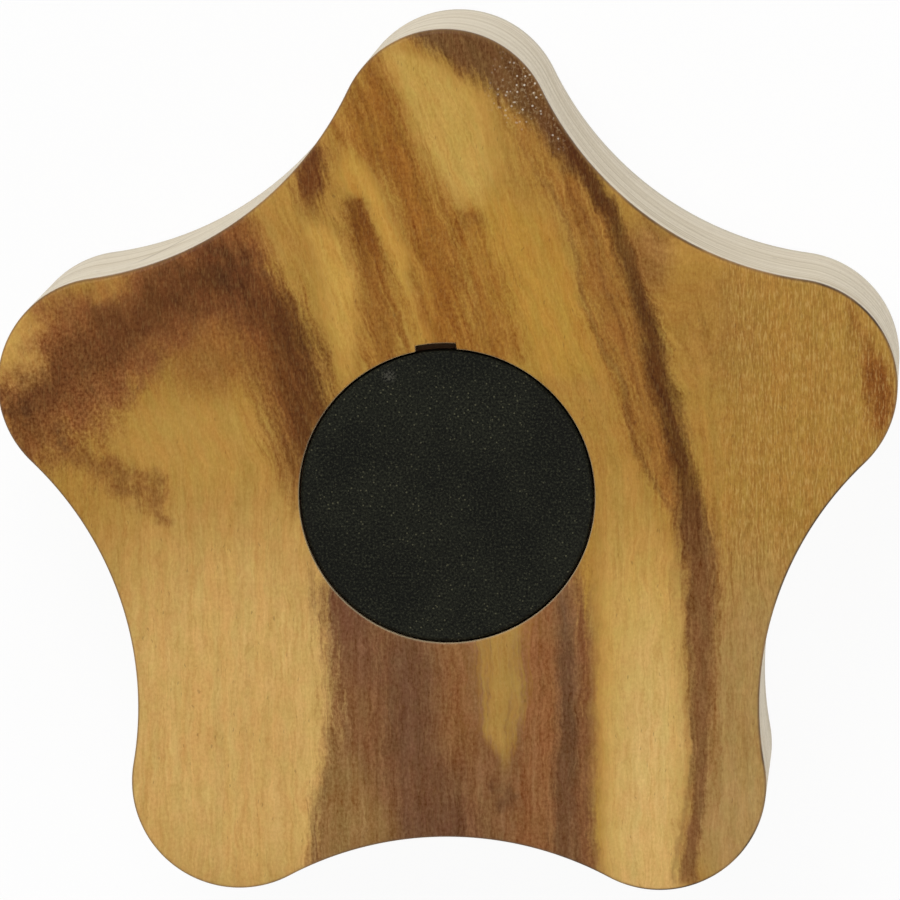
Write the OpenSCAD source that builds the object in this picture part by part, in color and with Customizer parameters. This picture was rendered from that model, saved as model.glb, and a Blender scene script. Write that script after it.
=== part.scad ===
// Five-lobed wooden tap knob with a black centre cap.
// The frame: Z is the spindle axis and points out of the front face, the back face lies at z = 0,
// and one lobe points along +Y.

/* [Star outline] */
// Number of lobes
lobe_count = 5; // [4:1:8]
// Axis to the tip of a lobe
tip_radius = 32; // [28:0.5:40]
// Radius of a lobe's rounded end
lobe_radius = 7.35; // [5:0.05:9]
// Radius of the hollow between two lobes
valley_radius = 23.3; // [18:0.1:40]

/* [Wooden body] */
// Thickness over both faces
body_thickness = 18; // [16:0.5:26]
// Thickness of the figured layer on the front
veneer_thickness = 0.6; // [0.4:0.1:1.2]
// Small chamfer round the outer edges
edge_break = 0.3; // [0.1:0.05:0.4]
// Small chamfer round the mouth of the cap's pocket
pocket_break = 0.15; // [0.05:0.05:0.3]

/* [Centre cap] */
// Diameter of the cap
cap_diameter = 20; // [19:0.1:24]
// Thickness of the cap's plate
cap_thickness = 1.8; // [1.4:0.1:2.4]
// Radial gap between the cap and the wood
cap_gap = 0.15; // [0.05:0.05:0.3]
// Chamfer on the cap's top edge
cap_break = 0.2; // [0.1:0.05:0.4]
// Diameter of the well below the cap
well_diameter = 16.4; // [15.4:0.1:17.2]
// Length of the skirt below the plate
skirt_length = 3; // [2:0.1:3.6]
// Wall of the skirt
skirt_wall = 1.1; // [0.8:0.1:1.6]
// Radial gap between the skirt and the well
skirt_gap = 0.35; // [0.2:0.05:0.6]
// Number of slots that let the skirt spring
slot_count = 6; // [4:1:8]
// Width of each slot
slot_width = 1.2; // [0.8:0.1:2]
// Width of the grip rib on each finger of the skirt
rib_width = 1.4; // [0.8:0.1:2.2]
// Width of the pry notch in the wood
notch_width = 2.8; // [2:0.1:4]
// Reach of the notch beyond the pocket's edge
notch_reach = 0.4; // [0.2:0.05:1]
// Depth of the notch below the cap, for the tip of a blade
notch_drop = 0.5; // [0.3:0.1:1]
// Direction of the notch, from +X towards +Y
notch_angle = 94; // [0:1:360]

/* [Hub insert] */
// Diameter of the insert over its knurl
hub_diameter = 14; // [12.6:0.1:15]
// Diameter of the flange at the back
flange_diameter = 18; // [16.4:0.1:22]
// Thickness of the flange
flange_thickness = 1.5; // [1:0.1:2.5]
// Radial gap between the insert and the wood, filled with glue
glue_gap = 0.1; // [0.05:0.05:0.2]
// Number of ridges in the knurl
knurl_count = 48; // [30:2:60]
// Depth of the knurl
knurl_depth = 0.35; // [0.2:0.05:0.5]
// Width of the plain groove that splits the knurl
groove_width = 1.6; // [1:0.1:2.5]
// Depth of that groove
groove_depth = 0.7; // [0.5:0.05:1]
// Diameter of the plain pilot at the mouth of the socket
pilot_diameter = 8.2; // [8.15:0.05:8.6]
// Depth of the pilot
pilot_depth = 4; // [3:0.1:4.5]
// Number of serrations in the socket
tooth_count = 28; // [20:1:36]
// Diameter at the roots of the serrations
tooth_root_diameter = 8.1; // [7.8:0.05:8.1]
// Diameter at the crests of the serrations
tooth_crest_diameter = 6.9; // [6.4:0.05:7.2]
// Thickness of the web that the screw pulls on
web_thickness = 2; // [1.5:0.1:3]

/* [Screw and washer] */
// Diameter of the screw's thread
screw_diameter = 4; // [3:0.5:5]
// Length of the screw below its head
screw_length = 8; // [6:0.5:8]
// Diameter of the screw's head
head_diameter = 8; // [7:0.1:9]
// Height of the screw's head
head_height = 3.1; // [2.4:0.1:3.4]
// Diameter across the recess in the head
recess_diameter = 4.4; // [3.4:0.1:5]
// Width of each wing of the recess
recess_wing = 1; // [0.8:0.05:1.2]
// Depth of the recess
recess_depth = 1.9; // [1.2:0.1:2.1]
// Radial gap round the screw in the washer and the web
screw_gap = 0.2; // [0.1:0.05:0.3]
// Diameter of the washer
washer_diameter = 9; // [8:0.1:10]
// Thickness of the washer
washer_thickness = 0.8; // [0.5:0.1:1.2]
// Height left free between the screw's head and the cap
head_room = 0.3; // [0.2:0.1:0.6]

/* [Hidden] */
$fn = 96;
// Overshoot that lets a cut pass clear through a face
cut = 1;

// Centres of the lobe and valley arcs, which run into each other without a corner
lobe_step = 360 / lobe_count;
lobe_centre = tip_radius - lobe_radius;
arc_span = lobe_radius + valley_radius;
half_chord = lobe_centre * sin(lobe_step / 2);
valley_centre = lobe_centre * cos(lobe_step / 2) + sqrt(arc_span ^ 2 - half_chord ^ 2);
// The hollows reach a little past the tangent, so that the arcs cross cleanly
arc_overlap = 0.002;
hollow_radius = valley_radius + arc_overlap;
// The first lobe points along +Y
first_lobe = 90;

// Heights, from the back face up
core_top = body_thickness - veneer_thickness;
cap_bottom = body_thickness - cap_thickness;
head_bottom = cap_bottom - head_room - head_height;
hub_top = head_bottom - washer_thickness;
web_bottom = hub_top - web_thickness;
skirt_bottom = cap_bottom - skirt_length;

// Radii that two pieces share
cap_radius = cap_diameter / 2;
pocket_radius = cap_radius + cap_gap;
well_radius = well_diameter / 2;
hub_bore_radius = hub_diameter / 2 + glue_gap;
flange_seat_radius = flange_diameter / 2 + glue_gap;
screw_hole_radius = screw_diameter / 2 + screw_gap;
skirt_radius = well_radius - skirt_gap;

// A point on the circle round the axis
function around(radius, angle) = [radius * cos(angle), radius * sin(angle)];

// How far a chamfer has spread where a section ends, past the face that it breaks
function flare(edge) = edge > 0 ? edge + cut : 0;

// Half section of a round solid or cutter that runs past both faces of a slab on z = 0. Chamfers at the
// bottom and the top narrow it where side is -1 and widen it where side is 1.
function edge_section(radius, thickness, low_break, high_break, side) = concat(
    [[0, -cut], [radius + side * flare(low_break), -cut]],
    low_break > 0 ? [[radius, low_break]] : [],
    high_break > 0 ? [[radius, thickness - high_break]] : [],
    [[radius + side * flare(high_break), thickness + cut], [0, thickness + cut]]
);

// Outline with teeth: ridges at the outer radius and grooves at the inner one
function toothed_outline(count, outer, inner) = [
    for (i = [0 : 2 * count - 1])
        around(i % 2 == 0 ? outer : inner, i * 180 / count)
];

// Slab with the star's outline, standing on z = 0, with chamfered edges: a web through the centres
// of all the arcs, a puck on each lobe and a cutter in each hollow, trimmed to the thickness
module star_slab(thickness, low_break, high_break) {
    arc_centres = [
        for (i = [0 : lobe_count - 1])
            each [
                around(lobe_centre, first_lobe + i * lobe_step),
                around(valley_centre, first_lobe + (i + 0.5) * lobe_step)
            ]
    ];
    intersection() {
        cylinder(r = tip_radius + cut, h = thickness);
        difference() {
            union() {
                translate([0, 0, -cut / 2])
                    linear_extrude(thickness + cut)
                        polygon(arc_centres);
                for (i = [0 : lobe_count - 1])
                    rotate(first_lobe + i * lobe_step)
                        translate([lobe_centre, 0, 0])
                            rotate_extrude()
                                polygon(edge_section(lobe_radius, thickness, low_break, high_break, -1));
            }
            for (i = [0 : lobe_count - 1])
                rotate(first_lobe + (i + 0.5) * lobe_step)
                    translate([valley_centre, 0, 0])
                        rotate_extrude()
                            polygon(edge_section(hollow_radius, thickness, low_break, high_break, 1));
        }
    }
}

// Straight-sided pry notch, cut from the middle of the pocket's ledge out into the wood
module notch_cut() {
    ledge_middle = (well_radius + pocket_radius) / 2;
    notch_bottom = cap_bottom - notch_drop;
    rotate(notch_angle)
        translate([ledge_middle, -notch_width / 2, notch_bottom])
            cube([pocket_radius + notch_reach - ledge_middle, notch_width, body_thickness + cut - notch_bottom]);
}

// Wooden body: a pale core with the cap's pocket and well in front and the insert's seat behind
module knob_body() {
    color("#d8c9ab")
        difference() {
            star_slab(core_top, edge_break, 0);
            rotate_extrude()
                polygon([
                    [0, -cut],
                    [flange_seat_radius, -cut],
                    [flange_seat_radius, flange_thickness],
                    [hub_bore_radius, flange_thickness],
                    [hub_bore_radius, hub_top],
                    [well_radius, hub_top],
                    [well_radius, cap_bottom],
                    [pocket_radius, cap_bottom],
                    [pocket_radius, body_thickness],
                    [0, body_thickness]
                ]);
            notch_cut();
        }
}

// Figured layer on the front, open over the cap's pocket
module face_veneer() {
    color("#b48a45")
        difference() {
            translate([0, 0, core_top])
                star_slab(veneer_thickness, 0, edge_break);
            translate([0, 0, core_top])
                rotate_extrude()
                    polygon(edge_section(pocket_radius, veneer_thickness, 0, pocket_break, 1));
            notch_cut();
        }
}

// Ridges of the knurl over one band
module knurl_band(bottom, top) {
    translate([0, 0, bottom])
        linear_extrude(top - bottom)
            polygon(toothed_outline(knurl_count, hub_diameter / 2, hub_diameter / 2 - knurl_depth));
}

// Metal insert: flanged, knurled outside, with a pilot and a serrated socket inside
module hub_insert() {
    groove_middle = (flange_thickness + hub_top) / 2;
    groove_bottom = groove_middle - groove_width / 2;
    groove_top = groove_middle + groove_width / 2;
    groove_radius = hub_diameter / 2 - groove_depth;
    color("#c9a24f")
        difference() {
            union() {
                cylinder(r = flange_diameter / 2, h = flange_thickness);
                cylinder(r = groove_radius, h = hub_top);
                knurl_band(flange_thickness, groove_bottom);
                knurl_band(groove_top, hub_top);
            }
            translate([0, 0, -cut])
                cylinder(r = pilot_diameter / 2, h = pilot_depth + cut);
            translate([0, 0, pilot_depth])
                linear_extrude(web_bottom - pilot_depth)
                    polygon(toothed_outline(tooth_count, tooth_root_diameter / 2, tooth_crest_diameter / 2));
            cylinder(r = screw_hole_radius, h = body_thickness);
        }
}

// Flat washer between the insert and the screw's head
module washer() {
    color("#b9bcc0")
        translate([0, 0, hub_top])
            difference() {
                cylinder(r = washer_diameter / 2, h = washer_thickness);
                translate([0, 0, -cut])
                    cylinder(r = screw_hole_radius, h = washer_thickness + 2 * cut);
            }
}

// Cross-shaped recess that narrows towards its bottom
module cross_recess() {
    intersection() {
        for (turn = [0, 90])
            rotate(turn)
                translate([-recess_diameter / 2, -recess_wing / 2, -recess_depth])
                    cube([recess_diameter, recess_wing, recess_depth + cut]);
        translate([0, 0, -recess_depth])
            cylinder(r1 = recess_wing / 2, r2 = recess_diameter / 2 + cut, h = recess_depth + cut);
    }
}

// Pan-head screw, with the thread left as a plain shank
module fixing_screw() {
    head_radius = head_diameter / 2;
    // The crown of the head is part of a ball that leaves a straight rim half the head's height
    crown_rise = head_height / 2;
    crown_radius = (head_radius ^ 2 + crown_rise ^ 2) / (2 * crown_rise);
    shank_radius = screw_diameter / 2;
    tip_break = shank_radius / 4;
    color("#b9bcc0")
        translate([0, 0, head_bottom])
            difference() {
                union() {
                    intersection() {
                        cylinder(r = head_radius, h = head_height);
                        translate([0, 0, head_height - crown_radius])
                            sphere(r = crown_radius);
                    }
                    rotate_extrude()
                        polygon([
                            [0, -screw_length],
                            [shank_radius - tip_break, -screw_length],
                            [shank_radius, tip_break - screw_length],
                            [shank_radius, crown_rise],
                            [0, crown_rise]
                        ]);
                }
                translate([0, 0, head_height])
                    cross_recess();
            }
}

// Black cap: a plate flush with the face, and a slotted skirt that grips the well
module centre_cap() {
    finger_step = 360 / slot_count;
    color("#232420")
        union() {
            rotate_extrude()
                polygon([
                    [0, cap_bottom],
                    [cap_radius, cap_bottom],
                    [cap_radius, body_thickness - cap_break],
                    [cap_radius - cap_break, body_thickness],
                    [0, body_thickness]
                ]);
            difference() {
                translate([0, 0, skirt_bottom])
                    union() {
                        cylinder(r = skirt_radius, h = skirt_length);
                        intersection() {
                            cylinder(r = well_radius, h = skirt_length);
                            for (i = [0 : slot_count - 1])
                                rotate((i + 0.5) * finger_step)
                                    translate([0, -rib_width / 2, 0])
                                        cube([well_radius + cut, rib_width, skirt_length]);
                        }
                    }
                translate([0, 0, skirt_bottom - cut])
                    cylinder(r = skirt_radius - skirt_wall, h = skirt_length + cut);
                for (i = [0 : slot_count - 1])
                    rotate(i * finger_step)
                        translate([0, -slot_width / 2, skirt_bottom - cut])
                            cube([well_radius + cut, slot_width, skirt_length + cut]);
            }
        }
}

knob_body();
face_veneer();
hub_insert();
washer();
fixing_screw();
centre_cap();
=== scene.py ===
"""Looks of the tap knob: a five-lobed wooden knob with a figured face and a black centre cap."""

import math

import bpy
from mathutils import Matrix, Vector


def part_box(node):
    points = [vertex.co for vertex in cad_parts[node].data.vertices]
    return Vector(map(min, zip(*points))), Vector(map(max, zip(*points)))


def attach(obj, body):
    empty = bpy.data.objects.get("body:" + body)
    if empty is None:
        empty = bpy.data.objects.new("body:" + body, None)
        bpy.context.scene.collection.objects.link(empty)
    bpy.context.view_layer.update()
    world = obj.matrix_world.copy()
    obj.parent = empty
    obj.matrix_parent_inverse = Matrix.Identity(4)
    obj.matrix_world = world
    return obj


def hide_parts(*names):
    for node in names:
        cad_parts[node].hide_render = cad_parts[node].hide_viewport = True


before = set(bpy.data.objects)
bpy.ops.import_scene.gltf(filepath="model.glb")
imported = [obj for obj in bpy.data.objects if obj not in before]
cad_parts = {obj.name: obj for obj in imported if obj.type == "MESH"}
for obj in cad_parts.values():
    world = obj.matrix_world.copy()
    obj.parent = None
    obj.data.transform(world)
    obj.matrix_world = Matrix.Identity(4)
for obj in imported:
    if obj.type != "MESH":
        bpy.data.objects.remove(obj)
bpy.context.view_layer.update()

MM = 0.001
BODY = "root"

# Sizes in millimetres and degrees, as in the CAD model; heights and reach come from the frame

LOBE_COUNT = 5
LOBE_RADIUS = 7.35
VALLEY_RADIUS = 23.3
EDGE_ROUND = 0.3
POCKET_ROUND = 0.15
CAP_GAP = 0.15
CAP_THICKNESS = 1.8
POCKET_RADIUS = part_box("centre_cap")[1].x / MM + CAP_GAP
WELL_RADIUS = 8.2
HUB_BORE_RADIUS = 7.1
FLANGE_SEAT_RADIUS = 9.1
FLANGE_SEAT_DEPTH = 1.5
NOTCH_WIDTH = 2.8
NOTCH_REACH = 0.4
NOTCH_ANGLE = 94.0

TIP_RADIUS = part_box("knob_body")[1].y / MM
CORE_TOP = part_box("knob_body")[1].z / MM
FACE_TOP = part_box("face_veneer")[1].z / MM
HUB_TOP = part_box("hub_insert")[1].z / MM
CAP_BOTTOM = FACE_TOP - CAP_THICKNESS

THREAD_ROOT = 1.95
THREAD_CREST = 2.15
THREAD_PITCH = 0.7
# Half the height of the thread's foot and of its flat crest
THREAD_FOOT = 0.31
THREAD_FLAT = 0.05
THREAD_BOTTOM = 5.2
THREAD_TOP = 9.6
# Sections of the thread for each turn, and how high it still stands at its very ends, as a share
THREAD_STEPS = 32
THREAD_END = 0.1

LOBE_ARC_POINTS = 48
VALLEY_ARC_POINTS = 40
ROUND_STEPS = 5
SIDE_ROWS = 12
FACE_ROWS = 10
# Where the back face has rings between its seat and its edge
BACK_SHARES = (0.3, 0.6, 0.85)
SHARP_ANGLE = math.radians(35)


# Outline and rings

def star_outline():
    """Points and outward normals round the five-lobed outline, in millimetres."""
    lobe_centre = TIP_RADIUS - LOBE_RADIUS
    half_step = math.pi / LOBE_COUNT
    reach = LOBE_RADIUS + VALLEY_RADIUS
    valley_centre = lobe_centre * math.cos(half_step) + math.sqrt(
        reach ** 2 - (lobe_centre * math.sin(half_step)) ** 2
    )
    valley_x = valley_centre * math.cos(half_step)
    valley_y = valley_centre * math.sin(half_step)
    # Where the lobe's arc meets the valley's, seen from the lobe's centre
    meet = math.atan2(valley_y, valley_x - lobe_centre)
    points = []
    for lobe in range(LOBE_COUNT):
        turn = Matrix.Rotation(math.pi / 2 + 2 * half_step * lobe, 2)
        for i in range(LOBE_ARC_POINTS):
            angle = meet * (2 * i / LOBE_ARC_POINTS - 1)
            normal = Vector((math.cos(angle), math.sin(angle)))
            place = Vector((lobe_centre, 0)) + LOBE_RADIUS * normal
            points.append((turn @ place, turn @ normal))
        sweep = 2 * (half_step - meet)
        for i in range(VALLEY_ARC_POINTS):
            angle = meet + math.pi + sweep * i / VALLEY_ARC_POINTS
            normal = -Vector((math.cos(angle), math.sin(angle)))
            place = Vector((valley_x, valley_y)) - VALLEY_RADIUS * normal
            points.append((turn @ place, turn @ normal))
    return points


OUTLINE = star_outline()


def star_ring(inset, height):
    """The outline moved inwards by inset, at that height."""
    ring = []
    for place, normal in OUTLINE:
        moved = place - inset * normal
        ring.append(Vector((moved.x, moved.y, height)))
    return ring


def round_ring(radius, height, notched=False):
    """A circle with one point for each point of the outline. A notched one has the pry notch at the top."""
    half_notch = NOTCH_WIDTH / 2 / radius
    ring = []
    for place, _ in OUTLINE:
        angle = math.atan2(place.y, place.x)
        in_notch = notched and abs(angle - math.radians(NOTCH_ANGLE)) < half_notch
        reach = radius + NOTCH_REACH if in_notch else radius
        ring.append(Vector((reach * math.cos(angle), reach * math.sin(angle), height)))
    return ring


def between(first, last, share):
    """The ring that lies that share of the way from one ring to another."""
    return [a.lerp(b, share) for a, b in zip(first, last)]


def quarter(step):
    """Sine and cosine of a step of a quarter turn."""
    angle = math.pi / 2 * step / ROUND_STEPS
    return math.sin(angle), math.cos(angle)


def skin(rings, rows):
    """Faces from each ring to the next, for that many rows. The first ring follows the last."""
    count = len(rings[0])
    faces = []
    for row in range(rows):
        here = row * count
        there = (row + 1) % len(rings) * count
        for i in range(count):
            follow = (i + 1) % count
            faces.append((here + i, here + follow, there + follow, there + i))
    return faces


def make_piece(name, rings, faces, material):
    """A new object with the rings' points and these faces."""
    mesh = bpy.data.meshes.new(name)
    mesh.from_pydata([tuple(MM * point) for ring in rings for point in ring], [], faces)
    mesh.materials.append(material)
    piece = bpy.data.objects.new(name, mesh)
    bpy.context.scene.collection.objects.link(piece)
    return piece


def looped_mesh(name, rings, material):
    """A smooth closed solid over a loop of rings, from the last ring back to the first."""
    piece = make_piece(name, rings, skin(rings, len(rings)), material)
    mesh = piece.data
    mesh.polygons.foreach_set("use_smooth", [True] * len(mesh.polygons))
    mesh.set_sharp_from_angle(angle=SHARP_ANGLE)
    return piece


def capped_mesh(name, rings, material):
    """A closed solid over a row of rings, with a cap on its first and last ring."""
    count = len(rings[0])
    last = count * (len(rings) - 1)
    caps = [tuple(reversed(range(count))), tuple(range(last, last + count))]
    return make_piece(name, rings, skin(rings, len(rings) - 1) + caps, material)


# Node helpers

def colour(code):
    """A hex colour as linear light."""
    parts = [int(code[i:i + 2], 16) / 255 for i in (1, 3, 5)]
    linear = [p / 12.92 if p <= 0.04045 else ((p + 0.055) / 1.055) ** 2.4 for p in parts]
    return (*linear, 1.0)


class Paint:
    """Short calls that build one material's nodes and return their output sockets."""

    # For streaks, in millimetres: how far they may lie from the middle, their greatest half width, how far
    # they fade past their ends, and the widest edge that a wide one fades over
    REACH = 36.0
    WIDEST = 16.0
    FADE = 1.0
    EDGE = 1.7

    def __init__(self, name):
        self.material = bpy.data.materials.new(name)
        self.material.use_nodes = True
        self.nodes = self.material.node_tree.nodes
        self.links = self.material.node_tree.links
        self.nodes.clear()
        output = self.nodes.new("ShaderNodeOutputMaterial")
        self.shader = self.nodes.new("ShaderNodeBsdfPrincipled")
        self.links.new(self.shader.outputs[0], output.inputs[0])

    def put(self, socket, value):
        """Links an output to a socket, or sets a plain value on it."""
        if isinstance(value, bpy.types.NodeSocket):
            self.links.new(value, socket)
        else:
            socket.default_value = value

    def set(self, **values):
        """Sets the shader's sockets by name, with _ for a space."""
        for name, value in values.items():
            self.put(self.shader.inputs[name.replace("_", " ")], value)

    def math(self, operation, *values):
        node = self.nodes.new("ShaderNodeMath")
        node.operation = operation
        for socket, value in zip(node.inputs, values):
            self.put(socket, value)
        return node.outputs[0]

    def mix(self, share, low, high):
        node = self.nodes.new("ShaderNodeMix")
        node.data_type = "RGBA"
        self.put(node.inputs[0], share)
        self.put(node.inputs[6], low)
        self.put(node.inputs[7], high)
        return node.outputs[2]

    def ramp(self, value, start, end, low=0.0, high=1.0):
        """A soft step from low at start to high at end; start may be the larger."""
        node = self.nodes.new("ShaderNodeMapRange")
        node.interpolation_type = "SMOOTHSTEP"
        for socket, number in zip(node.inputs, (value, start, end, low, high)):
            self.put(socket, number)
        return node.outputs[0]

    def millimetres(self):
        """The piece's own coordinates in millimetres: the vector, x, y and z."""
        place = self.nodes.new("ShaderNodeTexCoord")
        vector = self.stretch(place.outputs["Object"], (1 / MM, 1 / MM, 1 / MM))
        parts = self.nodes.new("ShaderNodeSeparateXYZ")
        self.links.new(vector, parts.inputs[0])
        return vector, parts.outputs[0], parts.outputs[1], parts.outputs[2]

    def stretch(self, vector, factors):
        node = self.nodes.new("ShaderNodeVectorMath")
        node.operation = "MULTIPLY"
        self.links.new(vector, node.inputs[0])
        node.inputs[1].default_value = factors
        return node.outputs[0]

    def join(self, x, y, z):
        node = self.nodes.new("ShaderNodeCombineXYZ")
        for socket, value in zip(node.inputs, (x, y, z)):
            self.put(socket, value)
        return node.outputs[0]

    def noise(self, vector, detail=2.0, roughness=0.5, flat=False):
        """Noise of about one feature per unit of the vector, around 0.5. Flat noise leaves out z."""
        node = self.nodes.new("ShaderNodeTexNoise")
        node.noise_dimensions = "2D" if flat else "3D"
        self.links.new(vector, node.inputs["Vector"])
        node.inputs["Scale"].default_value = 1.0
        node.inputs["Detail"].default_value = detail
        node.inputs["Roughness"].default_value = roughness
        return node.outputs[0]

    def cells(self, vector):
        """Distance from the nearest of scattered points, one per unit cell."""
        node = self.nodes.new("ShaderNodeTexVoronoi")
        self.links.new(vector, node.inputs["Vector"])
        node.inputs["Scale"].default_value = 1.0
        return node.outputs["Distance"]

    def span(self, place):
        """A coordinate in millimetres as a share of what the streaks' curves reach."""
        return self.math("MULTIPLY_ADD", place, 0.5 / self.REACH, 0.5)

    def streak(self, along, across, points, strength, soft, ragged, wear):
        """A streak that is full in the middle, half at its half width and nothing past its ends.
        along and across are spans. Each point is (along, middle, half width, strength), in millimetres.
        soft is the share of the half width, or of EDGE if that is less, over which its sides fade.
        ragged frays them, as much as wear says."""
        curves = self.nodes.new("ShaderNodeRGBCurve")
        mapping = curves.mapping
        mapping.extend = "HORIZONTAL"
        points = sorted(points)
        ends = [(points[0][0] - self.FADE, 0.0), (points[-1][0] + self.FADE, 0.0)]
        middles = [(p[0], (p[1] + self.REACH) / (2 * self.REACH)) for p in points]
        halves = [(p[0], p[2] / self.WIDEST) for p in points]
        strengths = [ends[0]] + [(p[0], p[3] * strength) for p in points] + [ends[1]]
        for channel, places in enumerate((middles, halves, strengths)):
            curve = mapping.curves[channel]
            places = [((a + self.REACH) / (2 * self.REACH), value) for a, value in places]
            curve.points[0].location = places[0]
            curve.points[1].location = places[-1]
            for place in places[1:-1]:
                curve.points.new(*place)
            for point in curve.points:
                point.handle_type = "AUTO_CLAMPED"
        mapping.update()
        self.links.new(along, curves.inputs["Color"])
        parts = self.nodes.new("ShaderNodeSeparateColor")
        self.links.new(curves.outputs[0], parts.inputs[0])
        middle, half, full = parts.outputs[0], parts.outputs[1], parts.outputs[2]
        off = self.math("ABSOLUTE", self.math("SUBTRACT", across, middle))
        # The curve of half widths has a finer unit than the spans
        unit = self.WIDEST / (2 * self.REACH)
        if max(p[2] for p in points) <= self.EDGE:
            past = self.math("MULTIPLY_ADD", ragged, wear * unit, self.math("DIVIDE", off, half))
            inside = self.ramp(past, (1 + soft) * unit, (1 - soft) * unit)
        else:
            depth = self.math("MULTIPLY_ADD", off, -1 / unit, half)
            depth = self.math("DIVIDE", depth, self.math("MINIMUM", half, self.EDGE / self.WIDEST))
            inside = self.ramp(self.math("MULTIPLY_ADD", ragged, -wear, depth), -soft, soft)
        return self.math("MULTIPLY", inside, full)

    def spot(self, x, y, centre, radii, core=0.0, full=1.0):
        """A soft oval spot: full in the middle, 0 at its radii."""
        off_x = self.math("MULTIPLY_ADD", x, 1 / radii[0], -centre[0] / radii[0])
        off_y = self.math("MULTIPLY_ADD", y, 1 / radii[1], -centre[1] / radii[1])
        squares = self.math("MULTIPLY_ADD", off_x, off_x, self.math("MULTIPLY", off_y, off_y))
        return self.ramp(self.math("SQRT", squares), 1.0, core, 0.0, full)

    def tint(self, tone, cast):
        """A colour seen through a coloured filter."""
        node = self.nodes.new("ShaderNodeVectorMath")
        node.operation = "MULTIPLY"
        self.links.new(tone, node.inputs[0])
        self.links.new(cast, node.inputs[1])
        return node.outputs[0]

    def lightness(self, tone):
        """How light a colour is, from 0 to 1."""
        node = self.nodes.new("ShaderNodeRGBToBW")
        self.links.new(tone, node.inputs[0])
        return node.outputs[0]

    def bump(self, height, distance, strength):
        node = self.nodes.new("ShaderNodeBump")
        node.inputs["Strength"].default_value = strength
        node.inputs["Distance"].default_value = distance
        self.links.new(height, node.inputs["Height"])
        return node.outputs[0]


# Figured face: broad tones first, then streaks painted where the wood has them, then fibres

# Broad soft spots of tone: colour, centre, radii, strength
FACE_TONES = [
    ("#cfa662", (-14.0, -16.0), (21.0, 21.0), 1.0),
    ("#a98750", (21.0, -16.0), (8.0, 17.0), 0.95),
    ("#b78d44", (-17.0, 3.5), (8.0, 4.5), 0.9),
    ("#8e5e2a", (-16.2, 10.4), (5.2, 4.6), 0.9),
    ("#8a5628", (-13.4, 17.8), (2.8, 2.4), 0.75),
    ("#b28641", (-11.2, 18.6), (2.2, 3.6), 0.7),
    ("#9f7435", (19.0, 11.5), (4.0, 6.0), 0.6),
    ("#8f6331", (13.8, 16.4), (2.6, 4.0), 0.85),
    ("#b3905a", (19.6, -22.5), (3.6, 5.5), 0.7),
]

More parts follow.
